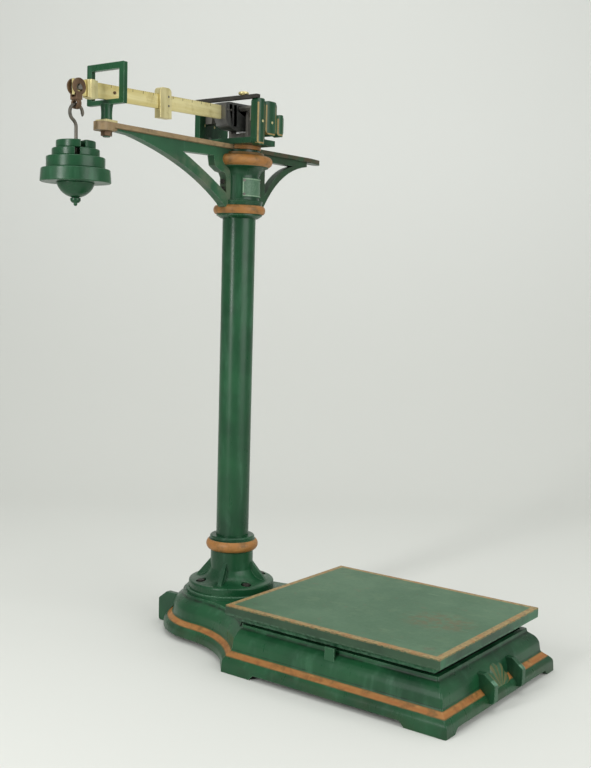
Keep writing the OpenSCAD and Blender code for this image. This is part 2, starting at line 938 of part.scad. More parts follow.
module stand_screws() {
    color(brass)
        head() {
            for (x = [-1, 1])
                translate([x * stand_screw_x, 0, stand_screw_low]) {
                    cylinder(r = stand_screw_r, h = foot_bar[1] - stand_screw_low);
                    translate([0, 0, foot_bar[1] - stand_screw_low]) cylinder(r = 4.5, h = 2.5);
                }
            both_cheeks()
                for (p = cheek_screws_at)
                    translate([cheek_x[0] + 0.5, p[0], p[1]])
                        rotate([0, 90, 0])
                            cylinder(r = stand_screw_r, h = cheek_x[1] + flute_out - cheek_x[0]);
        }
}

module tie_bar() {
    color(green)
        head()
            difference() {
                box([-cheek_x[1], cheek_x[1]], [stand_y[0], stand_y[0] + 10],
                    [lobes[0][3], lobes[0][3] + 7]);
                translate([tie_knob_x, stand_y[0] + 5, lobes[0][3] + 1])
                    cylinder(r = 3 + fit_gap, h = 10);
            }
}

tie_knob_x = 40;
module tie_knob() {
    color(brass)
        head()
            translate([tie_knob_x, stand_y[0] + 5, lobes[0][3] + 7]) {
                translate([0, 0, -5]) cylinder(r = 3, h = 6);
                rotate_extrude()
                    polygon(concat([[0, 0], [6, 0], [6, 1]], arc(7, 3.5, 3, -50, 90, 6), [[0, 6.5]]));
            }
}

// Vee steels on the inner faces of the cheeks
module fulcrum_bearings() {
    color(steel)
        head()
            both_cheeks()
                translate([0, fulcrum_y, fulcrum_z])
                    along_x(cheek_x[0] - 8, 16) vee_section(10, 20);
}

// Steelyard, drawn level with the fulcrum edge at its origin and hung at its idle tilt
module on_beam() {
    head() translate([0, fulcrum_y, fulcrum_z]) rotate([rest_tilt, 0, 0]) children();
}

butt_y = [-41, 52];
butt_half = 15;
tenon_y = -22;
bar_end = -beam_reach - 7;
fulcrum_half = 58;
load_knife_half = 27;
tip_knife_half = 10;
collar_y = [-beam_reach + 19, -beam_reach + 41];
pin_y = 81 - beam_reach;
pin_r = 2.5;

module bar_solid(grow) {
    box([-bar_t / 2 - grow, bar_t / 2 + grow], [bar_end, tenon_y], [-bar_low - grow, bar_high + grow]);
}

module across(y, half, way) {
    translate([0, y, 0]) along_x(0, 2 * half) knife_section(way);
}

module beam_bar() {
    color(brass)
        on_beam()
            difference() {
                bar_solid(0);
                across(-beam_reach, tip_knife_half, 1);
                translate([0, pin_y, -4]) rotate([0, 90, 0])
                    cylinder(r = pin_r + fit_gap, h = 40, center = true);
                for (y = butt_rivets_y)
                    translate([0, y, 0]) rotate([0, 90, 0])
                        cylinder(r = rivet_r + 0.4 + fit_gap, h = 60, center = true);
            }
}

butt_rivets_y = [-35, -27];
rib_t = 4;
module beam_butt() {
    outline = concat(
        [[butt_y[0], 12], [butt_y[0], -16]],
        bend([butt_y[0], -16], [-34, -35], [-12, -35], 6),
        [[38, -35]],
        bend([38, -35], [butt_y[1], -33], [butt_y[1], -16], 5),
        [[butt_y[1], 4]],
        bend([butt_y[1], 4], [butt_y[1], 15], [38, 15], 5),
        [[-30, 15]]
    );
    color(iron)
        on_beam()
            difference() {
                union() {
                    along_x(0, 2 * butt_half - 2) polygon(outline);
                    for (y = [-33, -20, -7, 35])
                        box([-butt_half, butt_half], [y - rib_t / 2, y + rib_t / 2], [-29, 11]);
                }
                bar_solid(0);
                across(0, fulcrum_half, -1);
                across(load_arm, load_knife_half, 1);
                for (y = butt_rivets_y)
                    translate([0, y, 0]) rotate([0, 90, 0])
                        cylinder(r = rivet_r + 0.4 + fit_gap, h = 60, center = true);
            }
}

module butt_rivets() {
    color(bronze)
        on_beam()
            for (y = butt_rivets_y)
                translate([0, y, 0])
                    rotate([0, 90, 0])
                        cylinder(r = rivet_r + 0.4, h = 2 * butt_half + 2, center = true);
}

module fulcrum_knife() {
    color(steel) on_beam() across(0, fulcrum_half, -1);
}

module load_knife() {
    color(steel) on_beam() across(load_arm, load_knife_half, 1);
}

module tip_knife() {
    color(steel) on_beam() across(-beam_reach, tip_knife_half, 1);
}

module beam_collar() {
    color(brass)
        on_beam()
            difference() {
                union() {
                    box([-6.5, 6.5], collar_y, [-bar_low - 2, bar_high + 2]);
                    box([-7.5, 7.5], [collar_y[0] + 6, collar_y[1] - 6], [-bar_low - 3, bar_high + 3]);
                }
                bar_solid(0);
            }
}

module collar_pin() {
    color(bronze)
        on_beam()
            translate([0, pin_y, -4]) rotate([0, 90, 0]) cylinder(r = pin_r, h = 11, center = true);
}

// Sliding poise with its clamp screws
poise_y = [-209, -180];
poise_half = 7;
poise_z = [-33, 20];
poise_gap = 0.35;
poise_screw_r = 2;
poise_screws_at = [[-187, 5], [-187, -11]];

module poise() {
    corner = 8;
    color(brass)
        on_beam()
            difference() {
                along_x(0, 2 * poise_half)
                    union() {
                        translate([poise_y[0], poise_z[0]])
                            square([poise_y[1] - poise_y[0], poise_z[1] - poise_z[0] - corner]);
                        translate([poise_y[0] + corner, poise_z[0]])
                            square([poise_y[1] - poise_y[0] - 2 * corner, poise_z[1] - poise_z[0]]);
                        for (y = [poise_y[0] + corner, poise_y[1] - corner])
                            translate([y, poise_z[1] - corner]) circle(r = corner);
                    }
                box([-bar_t / 2 - poise_gap, bar_t / 2 + poise_gap], [poise_y[0] - 1, poise_y[1] + 1],
                    [-bar_low - poise_gap, bar_high + poise_gap]);
                for (p = poise_screws_at)
                    translate([poise_half - 2.5, p[0], p[1]]) rotate([0, 90, 0])
                        cylinder(r = poise_screw_r + fit_gap, h = 9);
            }
}

module poise_screws() {
    color(steel)
        on_beam()
            for (p = poise_screws_at)
                translate([poise_half - 2.5, p[0], p[1]]) rotate([0, 90, 0])
                    cylinder(r = poise_screw_r, h = 2.3);
}

// Shackle, hook, cup and slotted weights below the tip knife
tip_y = fulcrum_y - beam_reach * cos(rest_tilt);
tip_z = fulcrum_z - beam_reach * sin(rest_tilt);
shackle_r = 13.5;
shackle_drop = 4;
shackle_cheek = [5, 8];
wire_r = 2.8;
hook_r = 13.5;
hook_z = tip_z - 45.6;
eye_hole_r = 5;
eye_r = 9;
eye_half = 3.5;
eye_z = hook_z + hook_r - wire_r - 0.9 + eye_hole_r;
stack_top = -38;
cup_top = -105.3;
cup_r = 31;
cup_depth = 24;
finial_top = cup_top - cup_depth;

module shackle() {
    bridge = [eye_z + eye_hole_r + 0.7, eye_z + eye_r + 1];
    color(bronze)
        head()
            translate([0, tip_y, 0]) {
                for (side = [-1, 1])
                    along_x(side * (shackle_cheek[0] + shackle_cheek[1]) / 2,
                        shackle_cheek[1] - shackle_cheek[0])
                        difference() {
                            union() {
                                translate([0, tip_z - shackle_drop]) circle(r = shackle_r);
                                translate([-6, bridge[0]]) square([12, tip_z - bridge[0]]);
                            }
                            translate([0, tip_z + air - 6.5]) circle(r = 6.5);
                        }
                box([-shackle_cheek[1], shackle_cheek[1]], [-6, 6], bridge);
                along_y(0, 2 * eye_half)
                    difference() {
                        translate([0, eye_z]) circle(r = eye_r);
                        translate([0, eye_z]) circle(r = eye_hole_r);
                    }
            }
}

// Round wire bent in the Y-Z plane from one angle to another
module wire_bend(y, z, from, to) {
    translate([0, y, z])
        rotate([90, 0, 90])
            rotate([0, 0, from])
                rotate_extrude(angle = to - from, $fn = 96)
                    translate([hook_r, 0]) circle(r = wire_r);
}

module hanger_hook() {
    tip_angle = -17;
    turn = 60;
    bead = wire_r + 0.3;
    shy = 1;
    shank_top = hook_z - 2 * hook_r * sin(turn);
    joint = [tip_y - hook_r * cos(turn), hook_z - hook_r * sin(turn)];
    color(iron)
        head() {
            wire_bend(tip_y, hook_z, tip_angle, 180 + turn - shy);
            wire_bend(tip_y - hook_r, shank_top, shy, turn - shy);
            translate([0, joint[0], joint[1]]) sphere(r = bead);
            translate([0, tip_y, shank_top]) sphere(r = bead);
            translate([0, tip_y + hook_r * cos(tip_angle), hook_z + hook_r * sin(tip_angle)])
                sphere(r = bead);
            translate([0, tip_y, cup_top - 15]) cylinder(r = wire_r, h = shank_top - cup_top + 14.5);
        }
}

module hanger_cup() {
    bowl_r = (cup_r * cup_r + cup_depth * cup_depth) / (2 * cup_depth);
    bowl_z = finial_top + bowl_r;
    from = -acos(cup_r / bowl_r);
    color(green)
        head()
            translate([0, tip_y, 0])
                difference() {
                    rotate_extrude($fn = 128)
                        polygon(concat(
                            [[0, cup_top]],
                            arc(0, bowl_z, bowl_r, from, -80, 12),
                            [[0, finial_top + 0.5]]
                        ));
                    translate([0, 0, cup_top - 16]) cylinder(r = wire_r + fit_gap, h = 20);
                }
}

module hanger_finial() {
    color(green)
        head()
            translate([0, tip_y, finial_top])
                rotate_extrude()
                    polygon(concat(
                        [[0, 0.45], [5.5, 0.45], [8.5, -0.5], [8.5, -4]],
                        bend([8.5, -4], [7, -8], [3.5, -8.5], 5),
                        arc(0, -10, 3.2, 20, -90, 8)
                    ));
}

slot_half = 4.2;
edge_r = 2;

// Turned disc from z0 up to z1 with a slot from the middle out through the rim
module slotted_weight(low_r, high_r, z0, z1, slot_angle) {
    color(green)
        head()
            translate([0, tip_y, 0])
                difference() {
                    rotate_extrude($fn = 128)
                        polygon(concat(
                            [[0, z0]],
                            arc(low_r - edge_r, z0 + edge_r, edge_r, -90, 0, 4),
                            arc(high_r - edge_r, z1 - edge_r, edge_r, 0, 90, 4),
                            [[0, z1]]
                        ));
                    translate([0, 0, z0 - 1]) cylinder(r = slot_half + 0.6, h = z1 - z0 + 2);
                    rotate([0, 0, slot_angle])
                        translate([0, -slot_half, z0 - 1])
                            cube([2 * low_r, 2 * slot_half, z1 - z0 + 2]);
                }
}

weight_z = [cup_top, -83, -64, -51, stack_top];

module weight_1() {
    slotted_weight(weight_1_r, weight_1_r, weight_z[3] + air, weight_z[4], -20);
}

module weight_2() {
    slotted_weight(weight_2_r, weight_2_r, weight_z[2] + air, weight_z[3], -38);
}

module weight_3() {
    slotted_weight(weight_3_r, weight_3_r, weight_z[1] + air, weight_z[2], 130);
}

module weight_4() {
    slotted_weight(weight_4_r, weight_4_r - 1.5, weight_z[0] + air, weight_z[1], 150);
}

base_casting();
platform_plate();
platform_frame();
platform_bearings();
base_bearings_front();
base_bearings_rear();
long_lever();
long_lever_fulcrum_knives();
long_lever_load_knives();
long_lever_nose_knife();
long_lever_link_knife();
short_lever();
short_lever_fulcrum_knives();
short_lever_load_knives();
short_lever_nose_knife();
lever_link();
lower_stirrup();
draw_rod();
rod_nuts();
upper_stirrup();
column_foot();
foot_bolts();
column_tube();
capital();
blank_plate();
plate_rivets();
left_bracket();
right_bracket();
bracket_bolts();
trig_loop();
stem_block();
trig_nut();
beam_stand();
stand_screws();
tie_bar();
tie_knob();
fulcrum_bearings();
beam_bar();
beam_butt();
butt_rivets();
fulcrum_knife();
load_knife();
tip_knife();
beam_collar();
collar_pin();
poise();
poise_screws();
shackle();
hanger_hook();
hanger_cup();
hanger_finial();
weight_1();
weight_2();
weight_3();
weight_4();
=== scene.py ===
import json
import math

import bmesh
import bpy
from mathutils import Matrix, Vector

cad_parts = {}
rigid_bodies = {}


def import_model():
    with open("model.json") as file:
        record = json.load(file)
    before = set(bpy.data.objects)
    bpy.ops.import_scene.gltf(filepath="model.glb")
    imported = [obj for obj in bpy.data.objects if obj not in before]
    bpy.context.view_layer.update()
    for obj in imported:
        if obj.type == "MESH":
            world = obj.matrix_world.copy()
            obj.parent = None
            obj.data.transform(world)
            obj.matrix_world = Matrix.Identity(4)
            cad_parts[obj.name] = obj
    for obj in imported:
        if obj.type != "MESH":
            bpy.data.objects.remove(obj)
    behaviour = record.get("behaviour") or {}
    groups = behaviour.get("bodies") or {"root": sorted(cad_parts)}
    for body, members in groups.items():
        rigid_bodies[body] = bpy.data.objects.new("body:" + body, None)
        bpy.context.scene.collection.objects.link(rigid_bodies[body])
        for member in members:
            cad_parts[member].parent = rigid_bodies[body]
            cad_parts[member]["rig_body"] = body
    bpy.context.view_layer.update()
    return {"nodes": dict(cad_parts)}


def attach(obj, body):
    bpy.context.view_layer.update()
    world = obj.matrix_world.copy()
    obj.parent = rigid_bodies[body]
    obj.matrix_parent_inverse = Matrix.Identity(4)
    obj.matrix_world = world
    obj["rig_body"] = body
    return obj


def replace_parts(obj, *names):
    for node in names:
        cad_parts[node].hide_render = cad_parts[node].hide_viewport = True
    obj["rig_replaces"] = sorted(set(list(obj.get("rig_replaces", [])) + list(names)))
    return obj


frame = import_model()

MM = 0.001

# Main heights and reaches of the scale, in millimetres
ARM_TOP = 950
TIP_Y = -417.86
BASE_FRONT = 603
BASE_HALF = 203
NECK_HALF = 134
FLARE_X = 3
FLARE_R = 190
PLATE_LEFT = 140
PLATE_RIGHT = 576
PLATE_HALF = 183
PLATE_TOP = 116
ROD_HOLE_R = 16
FOOT_RING = (162.5, 183.5)
LOWER_RING = (ARM_TOP - 130.5, ARM_TOP - 112.5)
UPPER_RING = (ARM_TOP - 39, ARM_TOP - 18)
NECK_GROOVE = (ARM_TOP - 17.5, ARM_TOP - 12.5)
BAND = (27.5, 36)
LUG_Y = 52
STAND_LOBES = ((-48, -22, -4, 81), (-23, 13, 15, 79), (12, 35, 17, 58))
CAMERA_TURN = 36.612
CAMERA_TILT = 5.323
CAMERA_ROLL = 1.55


# Shader maths

class Value:
    """A number that varies over a surface. Arithmetic on it adds the nodes that work it out."""

    def __init__(self, finish, socket):
        self.finish = finish
        self.socket = socket

    def __add__(self, other):
        return self.finish.math("ADD", self, other)

    __radd__ = __add__

    def __sub__(self, other):
        return self.finish.math("SUBTRACT", self, other)

    def __rsub__(self, other):
        return self.finish.math("SUBTRACT", other, self)

    def __mul__(self, other):
        return self.finish.math("MULTIPLY", self, other)

    __rmul__ = __mul__

    def __truediv__(self, other):
        return self.finish.math("DIVIDE", self, other)

    def __pow__(self, other):
        return self.finish.math("POWER", self, other)

    def size(self):
        return self.finish.math("ABSOLUTE", self)

    def wave(self):
        return self.finish.math("SINE", self)

    def at_least(self, other):
        return self.finish.math("MAXIMUM", self, other)

    def at_most(self, other):
        return self.finish.math("MINIMUM", self, other)

    def rise(self, low, high):
        """0 below low, 1 above high, smooth between them."""
        node = self.finish.add(
            "MapRange",
            {"interpolation_type": "SMOOTHSTEP"},
            {"Value": self, "From Min": low, "From Max": high},
        )
        return Value(self.finish, node.outputs["Result"])

    def fall(self, low, high):
        return 1 - self.rise(low, high)

    def band(self, low, high, soft):
        """1 between low and high, with edges that fade over soft."""
        return self.rise(low - soft, low + soft) * self.fall(high - soft, high + soft)


class Finish:
    """One material of the scale, with the places on the piece in millimetres as x, y and z."""

    def __init__(self, name):
        self.material = bpy.data.materials.new(name)
        self.material.use_nodes = True
        self.tree = self.material.node_tree
        self.tree.nodes.clear()
        self.shader = self.add("BsdfPrincipled")
        output = self.add("OutputMaterial")
        self.tree.links.new(self.shader.outputs["BSDF"], output.inputs["Surface"])
        self.place = self.add("TexCoord").outputs["Object"]
        parts = self.add("SeparateXYZ", {}, {"Vector": self.place})
        self.x, self.y, self.z = (Value(self, parts.outputs[axis]) * 1000 for axis in "XYZ")

    def add(self, kind, settings=None, sockets=None):
        """Adds a node: its type, its settings, then the values or links of its sockets."""
        node = self.tree.nodes.new("ShaderNode" + kind)
        for name, setting in (settings or {}).items():
            setattr(node, name, setting)
        for name, value in (sockets or {}).items():
            self.fill(node.inputs[name], value)
        return node

    def fill(self, socket, value):
        if isinstance(value, Value):
            self.tree.links.new(value.socket, socket)
        elif isinstance(value, bpy.types.NodeSocket):
            self.tree.links.new(value, socket)
        else:
            socket.default_value = value

    def math(self, operation, *values):
        node = self.add("Math", {"operation": operation}, dict(enumerate(values)))
        return Value(self, node.outputs[0])

    def vectors(self, operation, *values):
        return self.add("VectorMath", {"operation": operation}, dict(enumerate(values)))

    def mix(self, mask, below, above):
        """Colour below where mask is 0, above where it is 1."""
        node = self.add("Mix", {"data_type": "RGBA"}, {0: mask, 6: below, 7: above})
        return node.outputs[2]

    def grain(self, per_metre, detail=4, stretch=(1, 1, 1), seed=0.0):
        """Noise from 0 to 1 with so many spots in a metre."""
        stretched = self.vectors("MULTIPLY", self.place, stretch)
        moved = self.vectors("ADD", stretched.outputs[0], (seed, seed * 1.7, seed * 0.6))
        node = self.add(
            "TexNoise",
            {},
            {"Vector": moved.outputs[0], "Scale": per_metre, "Detail": detail, "Roughness": 0.6},
        )
        return Value(self, node.outputs[0])

    def cells(self, per_metre, seed):
        """Distance to the nearest of so many spots in a metre."""
        moved = self.vectors("ADD", self.place, (seed, seed, seed))
        node = self.add("TexVoronoi", {}, {"Vector": moved.outputs[0], "Scale": per_metre})
        return Value(self, node.outputs["Distance"])

    def edges(self, width):
        """1 on the rounded edges of a piece, 0 on its flats."""
        bent = self.add("Bevel", {"samples": 4}, {"Radius": width * MM})
        true = self.add("NewGeometry")
        turn = self.vectors("DOT_PRODUCT", bent.outputs[0], true.outputs["Normal"])
        return (1 - Value(self, turn.outputs["Value"])).rise(0.015, 0.16)

    def upward(self):
        """1 on faces that look straight up, 0 on upright ones."""
        true = self.add("NewGeometry")
        parts = self.add("SeparateXYZ", {}, {"Vector": true.outputs["Normal"]})
        return Value(self, parts.outputs["Z"])

    def relief(self, height, depth):
        """Raises the surface by height, a Value from 0 to 1, times depth in millimetres."""
        node = self.add("Bump", {}, {"Strength": 1.0, "Distance": depth * MM, "Height": height})
        self.fill(self.shader.inputs["Normal"], node.outputs["Normal"])

    def colour(self):
        """The colour that the finish has so far."""
        return self.shader.inputs["Base Color"].links[0].from_socket

    def stain(self, mask, colour):
        """Lays one more colour over the finish where the mask says so."""
        stained = self.mix(mask, self.colour(), colour)
        self.fill(self.shader.inputs["Base Color"], stained)

    def dress(self, colour, rough, metal=None):
        self.fill(self.shader.inputs["Base Color"], colour)
        self.fill(self.shader.inputs["Roughness"], rough)
        if metal is not None:
            self.fill(self.shader.inputs["Metallic"], metal)
        return self.material


def tone(red, green, blue):
    """A colour given as it looks on a screen, each part from 0 to 1."""
    return tuple(
        part / 12.92 if part < 0.04045 else ((part + 0.055) / 1.055) ** 2.4
        for part in (red, green, blue)
    ) + (1.0,)


# Finishes

DEEP_GREEN = tone(0.06, 0.22, 0.13)
GREEN = tone(0.11, 0.32, 0.19)
SOFT_GREEN = tone(0.30, 0.50, 0.38)
DULL_GREEN = tone(0.33, 0.50, 0.39)
PALE_GREEN = tone(0.56, 0.68, 0.58)
NEAR_BLACK = tone(0.07, 0.10, 0.07)
GILT = tone(0.61, 0.42, 0.22)
GILT_LIGHT = tone(0.74, 0.56, 0.34)
GILT_BROWN = tone(0.37, 0.29, 0.15)
BRASS = tone(0.84, 0.78, 0.52)
BRASS_LIGHT = tone(0.93, 0.89, 0.68)
BRASS_BROWN = tone(0.60, 0.52, 0.28)
BRONZE = tone(0.47, 0.38, 0.29)
BRONZE_DARK = tone(0.28, 0.20, 0.14)
STEEL = tone(0.52, 0.51, 0.48)
STEEL_DARK = tone(0.22, 0.22, 0.21)
IRON = tone(0.27, 0.26, 0.24)


def green_paint(finish, gilding=None, soft=0.0, leaf_tones=None, worn=0.55):
    """Old gloss paint: uneven deep green, rubbed gilding in a mask, pale rubbed edges, small chips.

    soft from 0 to 1 turns the paint duller and paler, and worn is how far the edges are rubbed."""
    gold, gold_dark, gold_light = leaf_tones or (GILT, GILT_BROWN, GILT_LIGHT)
    broad = finish.grain(7, 3)
    brushed = finish.grain(40, 5, (1, 1, 0.25), 2.0)
    fine = finish.grain(260, 3, seed=5.0)
    spots = finish.cells(90, 3.0)
    rim = finish.edges(2.2)
    colour = finish.mix(broad.rise(0.3, 0.72), DEEP_GREEN, GREEN)
    colour = finish.mix(brushed.rise(0.52, 0.8) * 0.3, colour, SOFT_GREEN)
    if soft:
        colour = finish.mix(soft, colour, DULL_GREEN)
    rubbed = rim * fine.rise(0.35, 0.6) * broad.rise(0.35, 0.6)
    colour = finish.mix(rubbed * worn, colour, PALE_GREEN)
    grime = spots.fall(0.04, 0.13) * fine.rise(0.5, 0.65)
    colour = finish.mix(grime * 0.5, colour, NEAR_BLACK)
    rough = 0.26 + 0.16 * brushed.rise(0.3, 0.8) + 0.2 * rubbed + 0.12 * grime + 0.25 * soft
    height = fine * 0.35 + broad * 0.35 + brushed * 0.3
    if gilding is not None:
        ragged = finish.grain(70, 5, seed=8.0)
        leaf = (gilding + (ragged - 0.5) * 0.55).rise(0.38, 0.62)
        metal = finish.mix(ragged.rise(0.45, 0.7) * 0.7, gold, gold_dark)
        bright = finish.grain(30, 4, (1, 1, 4), 11.0).rise(0.5, 0.8)
        metal = finish.mix(bright * 0.6, metal, gold_light)
        metal = finish.mix(gilding.fall(0.6, 1.0) * 0.8, metal, gold_dark)
        worn_off = finish.grain(35, 5, seed=14.0).rise(0.66, 0.74) * fine.rise(0.4, 0.55)
        leaf = leaf * (1 - 0.75 * worn_off)
        colour = finish.mix(leaf, colour, metal)
        rough = rough + leaf * 0.14
    finish.relief(height, 0.35)
    finish.fill(finish.shader.inputs["Specular IOR Level"], 0.36)
    return finish.dress(colour, rough)


def base_paint():
    """Green with a gilt band round the skirt, painted shade in the creases of the moulding, and
    painted shade low on the skirt.
    """
    finish = Finish("base_green")
    gilding = finish.z.band(*BAND, 2.2)
    crease = finish.z.band(72, 76, 1.5) + finish.z.band(38.2, 39.6, 0.6)
    green_paint(finish, gilding)
    copper = finish.z.band(29.5, 32.5, 1.0)
    copper = copper * finish.grain(50, 4, (1, 1, 0.4), 27.0).rise(0.35, 0.6)
    finish.stain(copper * 0.55, tone(0.58, 0.34, 0.17))
    # Painted shade: darker green low on the skirt, below the gilt band.
    skirt_shade = finish.z.fall(22, 28) * finish.grain(18, 4, seed=29.0).rise(0.3, 0.65)
    finish.stain(skirt_shade * 0.5, tone(0.17, 0.22, 0.13))
    # Painted shade: near-black laid in the creases under the lip and just above the gilt band.
    crease_shade = crease.at_most(1.0) * finish.grain(50, 4, seed=21.0).rise(0.25, 0.6)
    finish.stain(crease_shade * 0.7, NEAR_BLACK)
    return finish.material


def platform_paint():
    """Dull green top with a rubbed gilt border, brown rubbed patches, a soft corner flourish, and
    painted shade on the near side of the rim.
    """
    finish = Finish("platform_green")
    middle_x = (PLATE_LEFT + PLATE_RIGHT) / 2
    inset_x = (PLATE_RIGHT - PLATE_LEFT) / 2 - (finish.x - middle_x).size()
    inset_y = PLATE_HALF - finish.y.size()
    inset = inset_x.at_most(inset_y)
    ragged = finish.grain(130, 4, seed=4.0)
    broad = finish.grain(9, 4, seed=1.0)
    fine = finish.grain(320, 3, seed=6.0)
    on_top = finish.upward().rise(0.6, 0.8) * finish.z.rise(PLATE_TOP - 6, PLATE_TOP - 4)
    green = finish.mix(broad.rise(0.3, 0.7), tone(0.24, 0.38, 0.27), tone(0.30, 0.43, 0.32))
    faded = finish.grain(28, 5, seed=9.0).rise(0.5, 0.75)
    green = finish.mix(faded * 0.5, green, tone(0.35, 0.46, 0.34))
    side = finish.mix(broad.rise(0.35, 0.7), DEEP_GREEN, tone(0.17, 0.38, 0.26))
    side = finish.mix(finish.z.fall(100, 103) * ragged.rise(0.4, 0.6) * 0.5, side, DULL_GREEN)
    # Painted shade: the near long side of the rim is darkened to olive.
    near_side_shade = finish.y.fall(-PLATE_HALF + 2, -PLATE_HALF + 5) * broad.rise(0.2, 0.6)
    side = finish.mix(near_side_shade * 0.6, side, tone(0.15, 0.21, 0.12))
    colour = finish.mix(on_top, side, green)
    border = (inset.fall(10, 13) + (ragged - 0.5) * 0.8).rise(0.3, 0.7) * on_top
    lip = finish.z.rise(PLATE_TOP - 3.5, PLATE_TOP - 1.5) * (1 - on_top) * ragged.rise(0.35, 0.6)
    metal = finish.mix(ragged.rise(0.42, 0.7), tone(0.62, 0.52, 0.33), tone(0.45, 0.36, 0.23))
    metal = finish.mix(finish.grain(45, 4, seed=15.0).rise(0.5, 0.7), metal, GILT)
    colour = finish.mix((border * 0.92).at_most(1.0), colour, metal)
    colour = finish.mix(lip * 0.8, colour, metal)
    # Patches where loads rubbed the paint down
    spot_centre, spot_reach = (478, -12), (60, 48)
    spot_x = (finish.x - spot_centre[0]) / spot_reach[0]
    spot_y = (finish.y - spot_centre[1]) / spot_reach[1]
    patch = (spot_x * spot_x + spot_y * spot_y + (broad - 0.5) * 2.4).fall(0.1, 1.5)
    patch = patch * finish.grain(70, 5, seed=17.0).rise(0.38, 0.62)
    colour = finish.mix(patch * on_top * 0.55, colour, tone(0.42, 0.36, 0.27))
    scatter = finish.grain(55, 5, seed=19.0).rise(0.6, 0.72) * on_top
    colour = finish.mix(scatter * 0.3, colour, tone(0.40, 0.34, 0.26))
    # Corner flourish: two thin leaves that curl in from each corner
    corner = (inset_x * inset_x + inset_y * inset_y) ** 0.5
    swirl = ((corner * 0.26).wave() * 0.5 + 0.5).rise(0.55, 0.8)
    leaf = (inset_x - inset_y).size().fall(10, 22) * corner.band(24, 62, 4) * swirl
    leaf = leaf * on_top * ragged.rise(0.3, 0.6)
    colour = finish.mix(leaf * 0.35, colour, tone(0.24, 0.30, 0.22))
    scuffs = finish.grain(60, 4, (0.12, 1, 1), 23.0).rise(0.64, 0.72)
    colour = finish.mix(scuffs * on_top * 0.3, colour, tone(0.50, 0.60, 0.50))
    rough = 0.5 + 0.15 * ragged + 0.1 * patch - 0.16 * (1 - on_top)
    finish.relief(fine * 0.4 + ragged * 0.4 - patch * 0.4 - scuffs * 0.3, 0.3)
    return finish.dress(colour, rough)


def column_paint():
    """Green pillar, foot and head, with every turned ring gilt and the top disc too."""
    finish = Finish("column_green")
    reach = (finish.x * finish.x + finish.y * finish.y) ** 0.5
    rings = finish.z.band(*FOOT_RING, 1.0) * reach.rise(44.5, 46.5)
    rings = rings + finish.z.band(*LOWER_RING, 0.8) * reach.rise(43.5, 45)
    rings = rings + finish.z.band(*UPPER_RING, 0.8) * reach.rise(50, 53)
    # Painted shade: the neck groove takes gilding at 0.6, which turns it dark brown gold.
    rings = rings + finish.z.band(*NECK_GROOVE, 0.5) * 0.6
    rings = rings + finish.z.rise(ARM_TOP - 8, ARM_TOP - 7)
    return green_paint(finish, rings.at_most(1.0))


def arm_paint():
    """Left arm: its flange rubbed down to copper brown, the web green."""
    finish = Finish("arm_green")
    flange = finish.z.band(ARM_TOP - 8.6, ARM_TOP + 2, 0.5) * finish.y.fall(-39, -36)
    boss = finish.y.fall(TIP_Y + 83, TIP_Y + 86)
    rubbed_brown = (tone(0.57, 0.48, 0.35), tone(0.38, 0.33, 0.24), tone(0.68, 0.58, 0.44))
    green_paint(finish, (flange + boss).at_most(1.0) * 0.9, 0.15, rubbed_brown)
    brace = finish.z.fall(ARM_TOP - 50, ARM_TOP - 30)
    brace = brace * finish.grain(24, 5, seed=33.0).rise(0.35, 0.6)
    finish.stain(brace * 0.6, tone(0.40, 0.43, 0.35))
    return finish.material


def fitting_paint():
    """Plain green of the lugs, the pad and the stop, worn pale along their edges, with a painted
    highlight on the upward faces of the front lugs.
    """
    finish = Finish("fitting_green")
    green_paint(finish, None, 0.1, worn=0.95)
    ragged = finish.grain(120, 4, seed=35.0)
    # Painted highlight: upward faces past the front are paler, as if lit; the pale edges are real
    # wear.
    lit_top = finish.upward().rise(0.25, 0.45) * finish.x.rise(BASE_FRONT, BASE_FRONT + 2)
    wear_and_highlight = (lit_top * 0.7 + finish.edges(1.8)).at_most(1.0) * ragged.rise(0.3, 0.55)
    finish.stain(wear_and_highlight * 0.6, tone(0.52, 0.68, 0.58))
    return finish.material


def shell_paint():
    """Green shell with gold left on the ribs that fan out from its foot."""
    finish = Finish("shell_green")
    fan_foot = 22
    waves = 14
    turn = finish.math("ARCTAN2", finish.z - fan_foot, finish.y)
    ribs = ((turn * waves).wave() * 0.5 + 0.5).rise(0.3, 0.8)
    thin = (tone(0.47, 0.44, 0.26), tone(0.30, 0.33, 0.20), tone(0.56, 0.56, 0.38))
    return green_paint(finish, 0.42 + 0.22 * ribs, 0.15, thin)


def right_arm_paint():
    """Right arm: painted shade darkening the green all over, heavier in blotches, and brown where
    it wore through.
    """
    finish = Finish("right_arm_green")
    green_paint(finish, None, 0.1)
    blotches = finish.grain(40, 5, seed=31.0).rise(0.3, 0.6)
    # Painted shade: the whole arm is darkened, more where the blotches are.
    finish.stain(0.3 + 0.3 * blotches, tone(0.16, 0.17, 0.11))
    top = finish.z.rise(ARM_TOP - 9, ARM_TOP - 7) * blotches
    finish.stain(top * 0.75, tone(0.30, 0.24, 0.17))
    return finish.material


def lobe_distance(finish, low, high, foot, top):
    """Distance inwards or outwards from the rounded outline of one lobe of the stand."""
    corner = 7
    half = (high - low) / 2
    across = (finish.y - (low + high) / 2).size() - (half - corner)
    along = (finish.z - ARM_TOP - (foot + top) / 2).size() - ((top - foot) / 2 - corner)
    out_y = across.at_least(0.0)
    out_z = along.at_least(0.0)
    return (out_y * out_y + out_z * out_z) ** 0.5 + across.at_least(along).at_most(0.0) - corner


